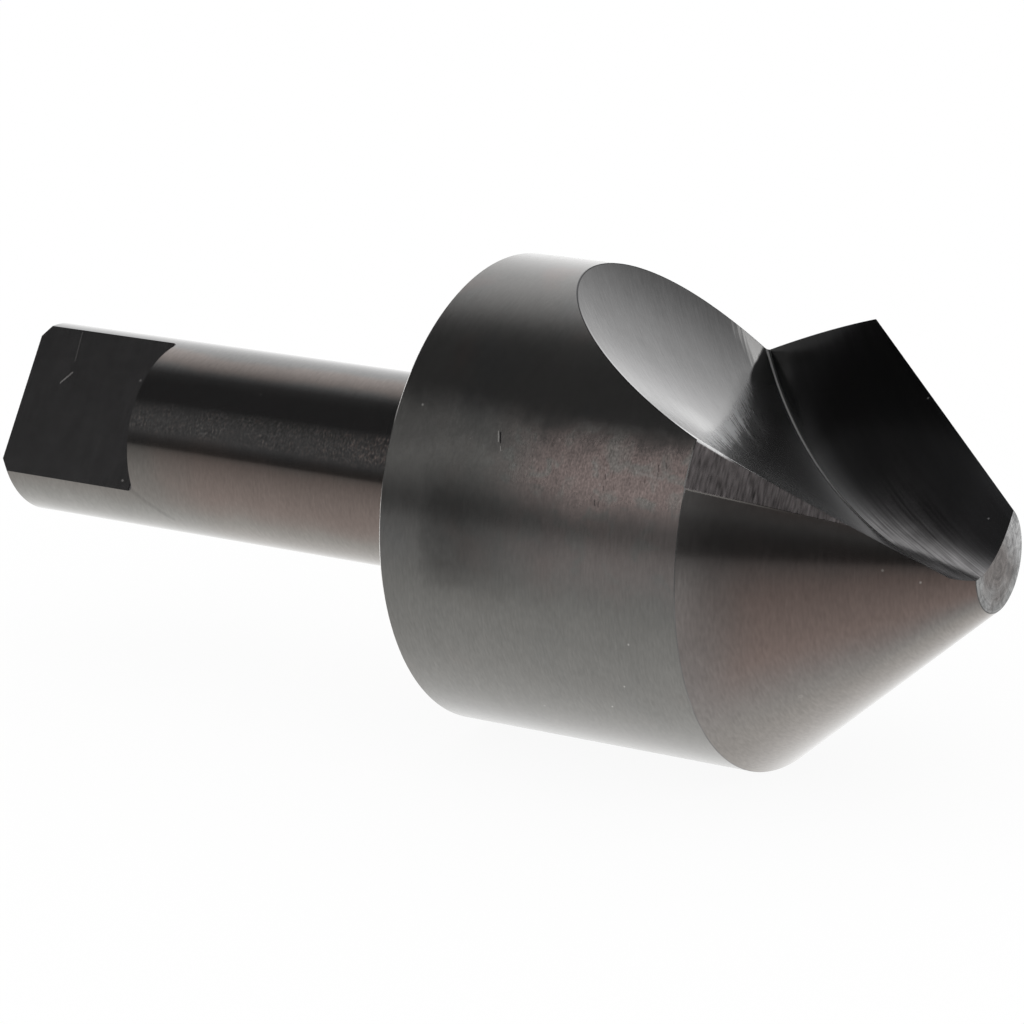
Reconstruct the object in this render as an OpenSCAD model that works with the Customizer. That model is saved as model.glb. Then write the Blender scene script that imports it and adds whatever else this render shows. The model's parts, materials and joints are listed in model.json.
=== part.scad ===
// Single-flute countersink bit, ground from one bar of tool steel.
// It lies with its axis level along +X, tip forwards, flute upwards.
// The origin is on the axis, at the back face of the head. Millimetres.

/* [Head] */
// Diameter of the head
head_d = 44.45; // [36:0.05:50]
// Length of the straight part of the head, from its back face to the cone
body_len = 30.9; // [26:0.1:40]
// Included angle of the cutting cone
cone_angle = 82; // [75:1:95]
// Diameter of the flat on the tip
tip_d = 9.1; // [6:0.1:12]
// Small bevel round the back edge of the head
back_bevel = 0.2; // [0.05:0.05:1]

/* [Shank] */
// Diameter of the shank
shank_d = 19.05; // [16:0.05:22]
// Length of the shank behind the head
shank_len = 54.8; // [45:0.1:70]
// Bevel round the end of the shank
end_bevel = 0.95; // [0.3:0.05:2]

/* [Drive flat] */
// Length of the flat, from the end of the shank
flat_len = 16.75; // [10:0.05:30]
// Depth of the flat below the round of the shank
flat_depth = 4.03; // [1:0.01:5]
// Direction in which the flat faces, in degrees about the axis
flat_turn = 149; // [120:1:180]
// Radius in the corner between the flat and its shoulder
flat_fillet = 0.7; // [0.2:0.1:1.5]

/* [Flute] */
// Helix angle of the rake face at the rim of the head
helix_angle = 28; // [20:1:35]
// Diameter of the grinding wheel that leaves the flute
wheel_d = 141; // [120:1:180]
// Taper of the wheel's rim, in degrees
wheel_taper = 3.6; // [1:0.1:8]
// Direction of the wheel's axis about the tool
wheel_turn = 143.4; // [138:0.1:149]
// Tilt of the wheel's axis below square to the tool
wheel_tilt = 22; // [17:0.1:27]
// Slope at which the wheel comes down into the tool
wheel_slope = 27.25; // [24:0.05:31]
// How far behind the tip the wheel's corner comes nearest to the axis
deepest_back = 11.6; // [8:0.1:15]
// Distance from the axis there
deepest_out = 0.96; // [0.2:0.02:3]
// Direction of that nearest point about the axis
deepest_turn = 107.3; // [90:0.1:125]
// Radius of the wheel's corner, left along the crease of the flute
crease_fillet = 0.35; // [0.1:0.05:0.8]

/* [Clearance] */
// How far ahead of the plain cone the cutting edge stands, along the axis
edge_lead = 0.54; // [0.2:0.02:0.9]
// Direction of the cutting edge about the axis
edge_turn = 49.9; // [45:0.1:55]
// Depth of the land that is ground behind the flute
heel_step = 0.06; // [0.02:0.01:0.2]
// Direction of the line where that land ends
heel_turn = 157.4; // [150:0.1:165]

/* [Hidden] */
$fn = 128;

head_r = head_d / 2;
shank_r = shank_d / 2;
tip_r = tip_d / 2;
slant = tan(cone_angle / 2);
tip_x = body_len + (head_r - tip_r) / slant;
apex_x = body_len + head_r / slant;
past = 5;              // how far a cutting solid runs past what it cuts
tool_steel = [0.22, 0.21, 0.21];

// The clearance is a second cone of the same angle, off centre, in the half behind the edge.
edge_to_peak = 47.5;   // its high side lies this far ahead of the cutting edge
peak_to_plain = 155;   // and it sinks into the plain cone this far from its high side
edge_to_half = 27.5;   // the half that holds it starts this far ahead of the edge
lead_swing = edge_lead / (cos(edge_to_peak) - cos(peak_to_plain));
lead_lift = -lead_swing * cos(peak_to_plain);
clearance_shift = lead_swing * slant;
peak_turn = edge_turn + edge_to_peak;
half_turn = edge_turn + edge_to_half;

// The land starts in the middle of the flute and ends at its line.
heel_from = deepest_turn;
heel_sink = heel_step / sin(cone_angle / 2);

// The wheel's own directions: its axis, towards its centre, and along its rim to the tip.
wheel_r = wheel_d / 2;
wheel_axis = [
    cos(wheel_tilt) * cos(wheel_turn),
    cos(wheel_tilt) * sin(wheel_turn),
    -sin(wheel_tilt)
];
wheel_level = [-sin(wheel_turn), cos(wheel_turn), 0];
wheel_steep = cross(wheel_axis, wheel_level);
to_centre = -cos(wheel_slope) * wheel_level + sin(wheel_slope) * wheel_steep;
to_tip = sin(wheel_slope) * wheel_level + cos(wheel_slope) * wheel_steep;
deepest = [
    deepest_out * cos(deepest_turn),
    deepest_out * sin(deepest_turn),
    tip_x - deepest_back
];
wheel_centre = deepest + wheel_r * to_centre;
twist = tan(helix_angle) / head_r;  // radians of turn for each millimetre along the axis

// How far the flute's surface is drawn past the head on each side, in head radii
reach_back = 1.75;
reach_tip = 1.2;
reach_flank = 1.55;
reach_feed = 2;
rim_from = -asin(reach_back * head_r / wheel_r);
rim_to = asin(reach_tip * head_r / wheel_r);
flank_len = reach_flank * head_r;
feed_len = reach_feed * head_r;

// How finely it is drawn along the rim, along the feed and round the corner
rim_steps = 56;
feed_steps = 20;
corner_steps = 3;

function unit(v) = v / norm(v);
function out_from_wheel(a) = -cos(a) * to_centre + sin(a) * to_tip;
function rim_point(a) = wheel_centre + wheel_r * out_from_wheel(a);
function flank_dir(a) = unit(wheel_axis + tan(wheel_taper) * out_from_wheel(a));
function feed_dir(p) = unit([-twist * p.y, twist * p.x, 1]);

// A point carried along the tool by x millimetres, turning with the helix
function fed(p, x) =
    let (turn = twist * x * 180 / PI)
    [p.x * cos(turn) - p.y * sin(turn), p.x * sin(turn) + p.y * cos(turn), p.z + x];

// Point number i of the rounded corner between directions f and g at p
function corner_point(p, f, g, i) =
    let (
        half = acos(f * g) / 2,
        middle = p + unit(f + g) * crease_fillet / sin(half),
        from = unit(p + f * crease_fillet / tan(half) - middle),
        upto = unit(p + g * crease_fillet / tan(half) - middle),
        sweep = 180 - 2 * half,
        w = i / corner_steps
    )
    middle + crease_fillet * (sin((1 - w) * sweep) * from + sin(w * sweep) * upto) / sin(sweep);

// One line across the flute: down the wheel's flank, round its corner, out along the feed,
// and back over the top, well clear of the head
function flute_line(a) =
    let (p = rim_point(a), f = flank_dir(a), g = feed_dir(p))
    concat(
        [p + flank_len * f],
        [for (i = [0:corner_steps]) corner_point(p, f, g, i)],
        [for (i = [1:feed_steps]) fed(p, feed_len * i / feed_steps)],
        [fed(p, feed_len) + flank_len * f]
    );

// Everything that the wheel takes away as it runs out of the tool along the helix
module flute_cut() {
    lines = [for (i = [0:rim_steps]) flute_line(rim_from + (rim_to - rim_from) * i / rim_steps)];
    n = len(lines[0]);
    last = rim_steps * n;
    sheet = [
        for (i = [0:rim_steps - 1], j = [0:n - 1])
            let (a = i * n + j, b = i * n + (j + 1) % n)
            each [[a, b + n, b], [a, a + n, b + n]]
    ];
    near_end = [for (j = [1:n - 2]) [0, j, j + 1]];
    far_end = [for (j = [1:n - 2]) [last, last + j + 1, last + j]];
    polyhedron(
        points = [for (line = lines) each line],
        faces = concat(sheet, near_end, far_end),
        convexity = 4
    );
}

// The bar as it leaves the lathe: shank, head and cone in one turning
module blank() {
    rotate_extrude()
        polygon([
            [0, -shank_len],
            [shank_r - end_bevel, -shank_len],
            [shank_r, end_bevel - shank_len],
            [shank_r, 0],
            [head_r - back_bevel, 0],
            [head_r, back_bevel],
            [head_r, body_len],
            [tip_r, tip_x],
            [0, tip_x]
        ]);
}

// A cone of the cutting angle with its point at height z, wide enough to pass the head
module cutting_cone(z) {
    depth = (head_r + past) / slant;
    translate([0, 0, z - depth])
        cylinder(h = depth, r1 = head_r + past, r2 = 0);
}

// The stock left proud behind the cutting edge, which falls away to the plain cone
module edge_clearance() {
    wide = head_r + past;
    intersection() {
        rotate([0, 0, peak_turn])
            translate([clearance_shift, 0, 0])
                cutting_cone(apex_x + lead_lift);
        translate([0, 0, body_len / 2])
            cylinder(h = tip_x - body_len / 2, r = head_r);
        rotate([0, 0, half_turn - 180])
            translate([-2 * wide, 0, 0])
                cube([4 * wide, 2 * wide, tip_x + past]);
    }
}

// The thin skin taken off the cone between the flute and the heel line
module heel_cut() {
    wide = head_r + past;
    difference() {
        translate([0, 0, body_len - heel_sink - past / 2])
            rotate([0, 0, heel_from])
                rotate_extrude(angle = heel_turn - heel_from)
                    square([wide, tip_x]);
        cutting_cone(apex_x - heel_sink);
    }
}

// The flat that the chuck's screw bears on, with a radius against its shoulder
module flat_cut() {
    seat = shank_r - flat_depth;
    shoulder = flat_len - shank_len;
    rotate([0, 0, flat_turn])
        difference() {
            translate([seat, -shank_r - past, -shank_len - past])
                cube([flat_depth + past, shank_d + 2 * past, flat_len + past]);
            difference() {
                translate([seat - past, -shank_r - 2 * past, shoulder - flat_fillet])
                    cube([flat_fillet + past, shank_d + 4 * past, flat_fillet + past]);
                translate([seat + flat_fillet, shank_r + 3 * past, shoulder - flat_fillet])
                    rotate([90, 0, 0])
                        cylinder(h = shank_d + 6 * past, r = flat_fillet);
            }
        }
}

module countersink_bit() {
    color(tool_steel)
        rotate([90, 0, 90])
            difference() {
                union() {
                    blank();
                    edge_clearance();
                }
                heel_cut();
                flat_cut();
                flute_cut();
            }
}

countersink_bit();
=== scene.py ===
# %% [markdown]
# # A single-flute countersink bit
# The real tool is one bar of tool steel. A lathe turns it, a milling cutter leaves the drive flat, and
# one grinding wheel leaves the flute. This file makes it in the same order: a turned bar, a milled flat,
# and then a flute that follows the path of the wheel. The finish of each ground or turned surface comes
# after that, and the studio and the floor come last.

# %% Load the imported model
import json
import math

import bpy
import numpy as np
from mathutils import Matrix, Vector


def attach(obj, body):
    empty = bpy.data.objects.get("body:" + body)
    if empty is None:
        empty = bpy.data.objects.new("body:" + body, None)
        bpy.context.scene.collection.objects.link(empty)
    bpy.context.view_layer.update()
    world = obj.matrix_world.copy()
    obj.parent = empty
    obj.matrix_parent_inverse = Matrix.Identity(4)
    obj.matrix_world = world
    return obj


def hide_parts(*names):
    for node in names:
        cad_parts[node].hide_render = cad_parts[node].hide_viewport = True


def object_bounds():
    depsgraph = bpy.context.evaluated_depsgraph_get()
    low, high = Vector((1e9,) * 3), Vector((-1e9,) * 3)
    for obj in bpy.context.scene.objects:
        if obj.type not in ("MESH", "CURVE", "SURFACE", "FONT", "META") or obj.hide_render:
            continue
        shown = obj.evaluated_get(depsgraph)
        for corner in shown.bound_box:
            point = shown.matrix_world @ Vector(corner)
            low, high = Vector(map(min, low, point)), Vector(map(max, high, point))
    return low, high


MM = 0.001

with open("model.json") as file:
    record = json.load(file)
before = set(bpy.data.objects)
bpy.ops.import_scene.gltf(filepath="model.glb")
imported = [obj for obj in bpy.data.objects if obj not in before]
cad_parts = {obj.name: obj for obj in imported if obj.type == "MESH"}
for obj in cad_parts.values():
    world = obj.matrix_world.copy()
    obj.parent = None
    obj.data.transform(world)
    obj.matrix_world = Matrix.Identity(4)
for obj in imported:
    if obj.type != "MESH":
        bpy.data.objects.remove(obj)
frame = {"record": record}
cad_low, cad_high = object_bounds()
scene = bpy.context.scene
print("CAD box, mm:", [round(x / MM, 2) for x in (*cad_low, *cad_high)])

# %% [markdown]
# ## The camera
# The photograph was taken from a little above the axis, ahead of the tip and to one side, with a long
# lens. A long lens keeps the far end of the shank almost as large as the near end. The camera is placed
# by its position and its viewing direction, and it is kept level, as on a tripod.

# %% Camera
CAMERA_AT = Vector((0.2017, -0.3211, 0.0976))
CAMERA_LOOKS = Vector((-0.5136, 0.8192, -0.2553))
LENS_MM = 145.05
SENSOR_MM = 36

camera = bpy.data.objects.new("camera", bpy.data.cameras.new("camera"))
camera.data.lens = LENS_MM
camera.data.sensor_width = SENSOR_MM
camera.data.clip_start = 0.01
camera.data.clip_end = 20
camera.location = CAMERA_AT
camera.rotation_euler = CAMERA_LOOKS.to_track_quat("-Z", "Y").to_euler()
scene.collection.objects.link(camera)
scene.camera = camera
print("camera to the origin, mm:", round(CAMERA_AT.length / MM, 1))

# %% [markdown]
# ## Sizes
# The tool's axis is the X axis, its tip points along +X, and the back of the head is at X = 0. A turn is an
# angle about the axis, from +Y towards +Z. The largest sizes are read from the loaded model, the shank's
# radius and the flat from its mounts, and the rest are the same round values as in the model's source.

# %% Sizes of the turned bar and of the flat
mounts = {mount["name"]: mount for mount in frame["record"]["mounts"]}
head_r = cad_high.y
tip_x = cad_high.x
shank_len = -cad_low.x
shank_r = mounts["shank"]["dims"]["r_mm"] * MM
tip_r = 9.1 / 2 * MM
cone_half = math.radians(82 / 2)
slant = math.tan(cone_half)
body_len = tip_x - (head_r - tip_r) / slant
apex_x = tip_x + tip_r / slant
back_bevel = 0.2 * MM
end_bevel = 0.95 * MM

flat_out = Vector(mounts["drive_flat"]["axis"])
flat_seat = Vector(mounts["drive_flat"]["pos_m"]).dot(flat_out)
flat_len = 16.75 * MM
flat_fillet = 0.7 * MM
print(f"head radius {head_r / MM:.3f} mm, straight body {body_len / MM:.2f} mm")
print(f"the flat lies {flat_seat / MM:.2f} mm from the axis")

# %% [markdown]
# The cutting edge stands a little ahead of the plain cone, so that nothing behind it rubs. The clearance
# is a second cone of the same angle, off centre. Its highest line lies in the flute, where the steel is
# ground away, so the edge is the highest line that is left, and behind the edge it sinks into the plain
# cone. The land is a thin skin off the cone, from the middle of the flute to a straight line beyond it.

# %% Sizes of the clearance behind the edge and of the land behind the flute
edge_lead = 0.54 * MM
edge_turn = math.radians(49.9)
edge_to_peak = math.radians(47.5)
edge_to_half = math.radians(27.5)
peak_to_plain = math.radians(155)
peak_turn = edge_turn + edge_to_peak
half_turn = edge_turn + edge_to_half
lead_swing = edge_lead / (math.cos(edge_to_peak) - math.cos(peak_to_plain))
lead_lift = -lead_swing * math.cos(peak_to_plain)
clearance_shift = lead_swing * slant

# The land starts at the turn where the wheel comes nearest to the axis
deepest_turn = math.radians(107.3)
heel_from = deepest_turn
heel_turn = math.radians(157.4)
heel_step = 0.06 * MM
heel_sink = heel_step / math.sin(cone_half)
print(f"the second cone lies {clearance_shift / MM:.3f} mm off centre")

# %% Sizes and path of the grinding wheel
wheel_r = 141 / 2 * MM
wheel_taper = math.radians(3.6)
wheel_turn = math.radians(143.4)
wheel_tilt = math.radians(22)
wheel_slope = math.radians(27.25)
deepest_back = 11.6 * MM
deepest_out = 0.96 * MM
helix_angle = math.radians(28)
twist = math.tan(helix_angle) / head_r
crease_fillet = 0.35 * MM

along = Vector((1, 0, 0))


def around(turn):
    """The direction square to the axis at that turn about it, from +Y towards +Z."""
    return Vector((0, math.cos(turn), math.sin(turn)))


wheel_axis = math.cos(wheel_tilt) * around(wheel_turn) - math.sin(wheel_tilt) * along
wheel_level = around(wheel_turn + math.pi / 2)
wheel_steep = wheel_axis.cross(wheel_level)
to_centre = -math.cos(wheel_slope) * wheel_level + math.sin(wheel_slope) * wheel_steep
to_tip = math.sin(wheel_slope) * wheel_level + math.cos(wheel_slope) * wheel_steep
deepest = deepest_out * around(deepest_turn) + (tip_x - deepest_back) * along
wheel_centre = deepest + wheel_r * to_centre
print("wheel centre, mm:", [round(x / MM, 2) for x in wheel_centre])

# %% [markdown]
# ## Sums written as sums
# Both the flute's shape and the finishes are formulas, and Blender's node trees hold formulas as chains of
# Math nodes. A chain is hard to read, so a small class stands for one output socket: adding or multiplying
# two of them adds the Math or Vector Math node. Any other node is added by one function, which takes its
# type, its settings, and the values or links of its sockets.

# %% A socket that can be used in sums
class Wire:
    """One output socket of a node tree."""

    def __init__(self, tree, socket):
        self.tree, self.socket = tree, socket

    def maths(self, operation, *others):
        """Any operation of the Math or Vector Math node on this wire and others."""
        return node_sum(self.tree, operation, self, *others)

    def __add__(self, other):
        return self.maths("ADD", other)

    def __radd__(self, other):
        return node_sum(self.tree, "ADD", other, self)

    def __sub__(self, other):
        return self.maths("SUBTRACT", other)

    def __rsub__(self, other):
        return node_sum(self.tree, "SUBTRACT", other, self)

    def __mul__(self, other):
        if is_vector(self) == is_vector(other):
            return self.maths("MULTIPLY", other)
        vector, factor = (self, other) if is_vector(self) else (other, self)
        return scaled(self.tree, vector, factor)

    def __rmul__(self, other):
        return self * other

    def __truediv__(self, other):
        return self * (1 / other) if is_vector(self) else self.maths("DIVIDE", other)

    def __rtruediv__(self, other):
        return node_sum(self.tree, "DIVIDE", other, self)

    def __pow__(self, other):
        return self.maths("POWER", other)

    def __neg__(self):
        return self * -1


# %% Nodes, and sums as nodes
def is_vector(value):
    return isinstance(value, Vector) or (isinstance(value, Wire) and value.socket.type == "VECTOR")


def node_sum(tree, operation, *terms):
    """A Math node, or a Vector Math node where one of the terms is a vector."""
    kind = "ShaderNodeVectorMath" if any(is_vector(term) for term in terms) else "ShaderNodeMath"
    return add_node(tree, kind, {"operation": operation}, dict(enumerate(terms)))


def add_node(tree, kind, settings=None, inputs=None, output=None):
    """Adds a node, sets it up, feeds its sockets, and returns the wire that leaves it."""
    node = tree.nodes.new(kind)
    settings = dict(settings or {})
    stops = settings.pop("stops", [])
    for name, value in settings.items():
        setattr(node, name, value)
    for number, (place, value) in enumerate(stops):
        elements = node.color_ramp.elements
        element = elements[number] if number < 2 else elements.new(place)
        element.position = place
        element.color = (*value, 1) if isinstance(value, tuple) else (value, value, value, 1)
    for key, value in (inputs or {}).items():
        if isinstance(value, Wire):
            tree.links.new(value.socket, node.inputs[key])
        else:
            node.inputs[key].default_value = value
    enabled = (socket for socket in node.outputs if socket.enabled)
    return Wire(tree, node.outputs[output] if output else next(enabled, None))


def scaled(tree, vector, factor):
    """A vector or a colour times a number."""
    inputs = {0: vector, "Scale": factor}
    return add_node(tree, "ShaderNodeVectorMath", {"operation": "SCALE"}, inputs)


def split(vector):
    """The x, y and z of a vector."""
    node = add_node(vector.tree, "ShaderNodeSeparateXYZ", {}, {0: vector}).socket.node
    return [Wire(vector.tree, socket) for socket in node.outputs]


def mix(first, second, share):
    """first where share is 0, second where it is 1."""
    return first + (second - first) * share


# %% [markdown]
# ## One finish for each surface
# Every surface of the tool was left by another step of the work, so each has its own finish. The materials
# are made here with nothing in them but their names, because the mesh needs them from the start.

# %% Names of the finishes
SURFACES = [
    "tip_face",
    "tip_edge",
    "cone",
    "heel_land",
    "heel_step",
    "cone_edge",
    "body",
    "back_edge",
    "back_face",
    "shank",
    "end_edge",
    "end_face",
    "drive_flat",
    "flat_shoulder",
    "scoop",
    "crease",
    "rake_face",
]

finishes = {name: bpy.data.materials.new(name) for name in SURFACES}
print(len(finishes), "finishes")

# %% [markdown]
# ## The turned bar
# On the lathe the bar gets its shank, its head, the 82 degree cone and the small flat at the tip. A Screw
# modifier could turn one outline, but the cone isn't quite round: behind the cutting edge it stands half a
# millimetre proud and falls away to the plain cone, and the land behind the flute is a skin lower. So the
# bar is drawn as columns of points, one for each degree, with the radius worked out for each point. A real
# edge is never quite sharp, so the edges get a narrow face of their own.

# %% Radius of the cone
HALVINGS = 40

clearance_side = clearance_shift * around(peak_turn)


def eccentric_radius(turn, x):
    """Radius of the off-centre cone that gives the edge its clearance."""
    wide = (apex_x + lead_lift - x) * slant
    off = turn - peak_turn
    side = clearance_shift * math.sin(off)
    return clearance_shift * math.cos(off) + math.sqrt(max(wide * wide - side * side, 0))


def has_clearance(turn):
    """True in the half turn that holds the clearance, where its cone stands outside the plain one."""
    inside_half = math.sin(half_turn - turn) > 0
    return inside_half and eccentric_radius(turn, body_len) > head_r


def on_land(turn):
    return heel_from < turn % math.tau < heel_turn


def cone_radius(turn, x):
    if on_land(turn):
        return (apex_x - heel_sink - x) * slant
    return eccentric_radius(turn, x) if has_clearance(turn) else (apex_x - x) * slant


def corner_x(turn, radius):
    """Where the cone reaches that radius, found by halving a short stretch about the head's corner."""
    low, high = body_len - MM, body_len + 2 * MM
    for _ in range(HALVINGS):
        middle = (low + high) / 2
        low, high = (middle, high) if cone_radius(turn, middle) > radius else (low, middle)
    return low


edge_ahead = corner_x(edge_turn, head_r) - body_len
print(f"at the cutting edge the cone starts {edge_ahead / MM:.2f} mm ahead of the plain one")

# %% Columns of the bar
TIP_ROWS = 3
CONE_ROWS = 24
BODY_ROWS = 20
SHANK_ROWS = 30
# Half the angle over which the radius steps up or down at the ends of the clearance and of the land
STEP_HALF = math.radians(0.12)
# Width of the narrow faces along the edges of the tip and of the head
EDGE_WIDTH = 0.06 * MM

steps_at = [half_turn, heel_from, heel_turn]
turns = [math.radians(degree) for degree in range(360)]
turns = [t for t in turns if min(abs(t - s) for s in steps_at) > 3 * STEP_HALF]
turns = sorted(turns + [s + side * STEP_HALF for s in steps_at for side in (-1, 1)])


def between(first, last, steps):
    return [first + (last - first) * i / steps for i in range(steps)]


def bar_column(turn):
    """Points (x, radius, surface that follows), from the tip's middle to the middle of the shank's end."""
    tip_radius = cone_radius(turn, tip_x)
    cone_from = tip_x - EDGE_WIDTH * math.cos(cone_half)
    cone_to = corner_x(turn, head_r - EDGE_WIDTH * math.sin(cone_half))
    body_from = corner_x(turn, head_r) - EDGE_WIDTH
    shank_end = end_bevel - shank_len
    cone_name = "heel_land" if on_land(turn) else "cone"
    rows = [(tip_x, r, "tip_face") for r in between(0, tip_radius - EDGE_WIDTH, TIP_ROWS)[1:]]
    rows += [(tip_x, tip_radius - EDGE_WIDTH, "tip_edge")]
    rows += [(x, cone_radius(turn, x), cone_name) for x in between(cone_from, cone_to, CONE_ROWS)]
    rows += [(cone_to, cone_radius(turn, cone_to), "cone_edge")]
    rows += [(x, head_r, "body") for x in between(body_from, back_bevel, BODY_ROWS)]
    rows += [(back_bevel, head_r, "back_edge")]
    rows += [(0, head_r - back_bevel, "back_face")]
    rows += [(x, shank_r, "shank") for x in between(0, shank_end, SHANK_ROWS)]
    rows += [(shank_end, shank_r, "end_edge")]
    rows += [(-shank_len, shank_r - end_bevel, "end_face")]
    return rows


bar_columns = [bar_column(turn) for turn in turns]
print(len(bar_columns), "columns of", len(bar_columns[0]), "points")

# %% The bar as a mesh
def build_mesh(name, points, faces, surfaces):
    """A mesh object whose faces carry the finishes with those names."""
    mesh = bpy.data.meshes.new(name)
    mesh.from_pydata(points, [], faces)
    used = sorted(set(surfaces), key=SURFACES.index)
    for surface in used:
        mesh.materials.append(finishes[surface])
    mesh.polygons.foreach_set("material_index", [used.index(surface) for surface in surfaces])
    mesh.update()
    made = bpy.data.objects.new(name, mesh)
    scene.collection.objects.link(made)
    return made


count, depth = len(bar_columns), len(bar_columns[0])
bar_points = [Vector((tip_x, 0, 0)), Vector((-shank_len, 0, 0))]
tip_middle, end_middle, first_row = 0, 1, 2
for turn, column in zip(turns, bar_columns):
    bar_points += [x * along + radius * around(turn) for x, radius, _ in column]

bar_faces, bar_surfaces = [], []
for i, turn in enumerate(turns):
    here, there = first_row + i * depth, first_row + (i + 1) % count * depth
    middle = (turn + turns[(i + 1) % count] + math.tau * (i + 1 == count)) / 2
    stepped = min(abs(middle - s) for s in steps_at) < STEP_HALF
    bar_faces.append((tip_middle, here, there))
    bar_surfaces.append("tip_face")
    for j in range(depth - 1):
        name = bar_columns[i][j][2]
        bar_faces.append((here + j, here + j + 1, there + j + 1, there + j))
        bar_surfaces.append("heel_step" if stepped and name in ("cone", "heel_land") else name)
    bar_faces.append((here + depth - 1, end_middle, there + depth - 1))
    bar_surfaces.append("end_face")

bar = build_mesh("bar", bar_points, bar_faces, bar_surfaces)
print("bar:", len(bar.data.vertices), "points,", len(bar.data.polygons), "faces")

# %% [markdown]
# ## The drive flat
# The chuck's screw bears on a flat at the end of the shank. A milling cutter left it, with a square
# shoulder and the radius of its own corner between the two. The flat could be drawn into the columns of the
# bar, but they don't follow its edges. A Boolean modifier takes away the same shape that the cutter did: a
# block with one rounded edge.

# %% The milling cutter's path
FILLET_STEPS = 6
PAST = 5 * MM

shoulder_x = flat_len - shank_len
fillet_mid = (shoulder_x - flat_fillet, flat_seat + flat_fillet)
flat_side = flat_out.cross(along)
profile = [(-shank_len - PAST, flat_seat, "drive_flat")]
for i in range(FILLET_STEPS + 1):
    angle = math.pi / 2 * i / FILLET_STEPS
    x = fillet_mid[0] + flat_fillet * math.sin(angle)
    profile.append((x, fillet_mid[1] - flat_fillet * math.cos(angle), "flat_shoulder"))
profile += [(x, shank_r + PAST, "flat_shoulder") for x in (shoulder_x, -shank_len - PAST)]

mill_points = [
    x * along + out * flat_out + side * (shank_r + PAST) * flat_side
    for side in (-1, 1)
    for x, out, _ in profile
]
n = len(profile)
mill_faces = [(i, n + i, n + (i + 1) % n, (i + 1) % n) for i in range(n)]
mill_faces += [tuple(range(n)), tuple(range(2 * n - 1, n - 1, -1))]
mill_surfaces = [surface for _, _, surface in profile] + ["flat_shoulder"] * 2
mill = build_mesh("milling_cutter", mill_points, mill_faces, mill_surfaces)

milling = bar.modifiers.new("drive flat", "BOOLEAN")
milling.operation = "DIFFERENCE"
milling.solver = "EXACT"
milling.material_mode = "TRANSFER"
milling.object = mill
print("flat from", round(-shank_len / MM, 2), "to", round(shoulder_x / MM, 2), "mm")

# %% [markdown]
# ## The flute
# One wide grinding wheel leaves the whole flute. It is fed out of the tool along a helix, so its corner
# sweeps the rake face, and where it stops, the flank of its rim stays behind as the long scoop. Between
# the two, the rounded corner of the wheel leaves the crease. Such a shape follows a rule, so Geometry Nodes
# make it: a flat grid, one way along the rim and the other way across the flute, is bent to the wheel's
# path by formulas, and a Mesh Boolean node takes it from the bar. Each size of the wheel is an input.

# %% Inputs of the wheel's tree
# How far the wheel's surface is drawn past the head each way, in head radii
REACH_BACK = 1.75
REACH_TIP = 1.2
REACH_FLANK = 1.55
REACH_FEED = 2

wheel_tree = bpy.data.node_groups.new("wheel path", "GeometryNodeTree")
wheel_tree.is_modifier = True
wheel_inputs = {
    "Bar": ("Geometry", None),
    "Wheel radius": ("Float", wheel_r),
    "Wheel taper": ("Float", wheel_taper),
    "Wheel centre": ("Vector", wheel_centre),
    "Wheel axis": ("Vector", wheel_axis),
    "Towards centre": ("Vector", to_centre),
    "Towards tip": ("Vector", to_tip),
    "Corner radius": ("Float", crease_fillet),
    "Twist": ("Float", twist),
    "Rim from": ("Float", -math.asin(REACH_BACK * head_r / wheel_r)),
    "Rim to": ("Float", math.asin(REACH_TIP * head_r / wheel_r)),
    "Flank length": ("Float", REACH_FLANK * head_r),
    "Feed length": ("Float", REACH_FEED * head_r),
    "Rim steps": ("Int", 112),
    "Corner steps": ("Int", 5),
    "Feed steps": ("Int", 56),
    "Scoop finish": ("Material", finishes["scoop"]),
    "Crease finish": ("Material", finishes["crease"]),
    "Rake finish": ("Material", finishes["rake_face"]),
}
identifiers = {}
for name, (kind, value) in wheel_inputs.items():
    socket = wheel_tree.interface.new_socket(name, in_out="INPUT", socket_type="NodeSocket" + kind)
    identifiers[name] = socket.identifier
wheel_tree.interface.new_socket("Fluted bar", in_out="OUTPUT", socket_type="NodeSocketGeometry")

given = {name: add_node(wheel_tree, "NodeGroupInput", output=name) for name in wheel_inputs}
print(len(given), "inputs")

# %% [markdown]
# The grid's columns are counted across the flute. Column 0 is the far end of the flank, then come the
# columns of the rounded corner, then those of the feed, and the last two go back over the top to the start.
# The first and last rows shrink to a point, which closes the ends.

# %% Rows and columns of the grid
corner_end = given["Corner steps"] + 1
feed_end = corner_end + given["Feed steps"]
last_column = feed_end + 2
last_row = given["Rim steps"] + 2
grid_sizes = {
    "Size X": 1,
    "Size Y": 1,
    "Vertices X": last_row + 1,
    "Vertices Y": last_column + 1,
}
grid = add_node(wheel_tree, "GeometryNodeMeshGrid", {}, grid_sizes)
grid_x, grid_y, _ = split(add_node(wheel_tree, "GeometryNodeInputPosition"))
row = (grid_x + 0.5) * last_row
column = (grid_y + 0.5) * last_column
print(len(wheel_tree.nodes), "nodes for rows and columns")


def clamp(value, low, high):
    return value.maths("MAXIMUM", low).maths("MINIMUM", high)


def after(value, limit):
    """1 where value is above limit, else 0."""
    return value.maths("GREATER_THAN", limit)


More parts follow.
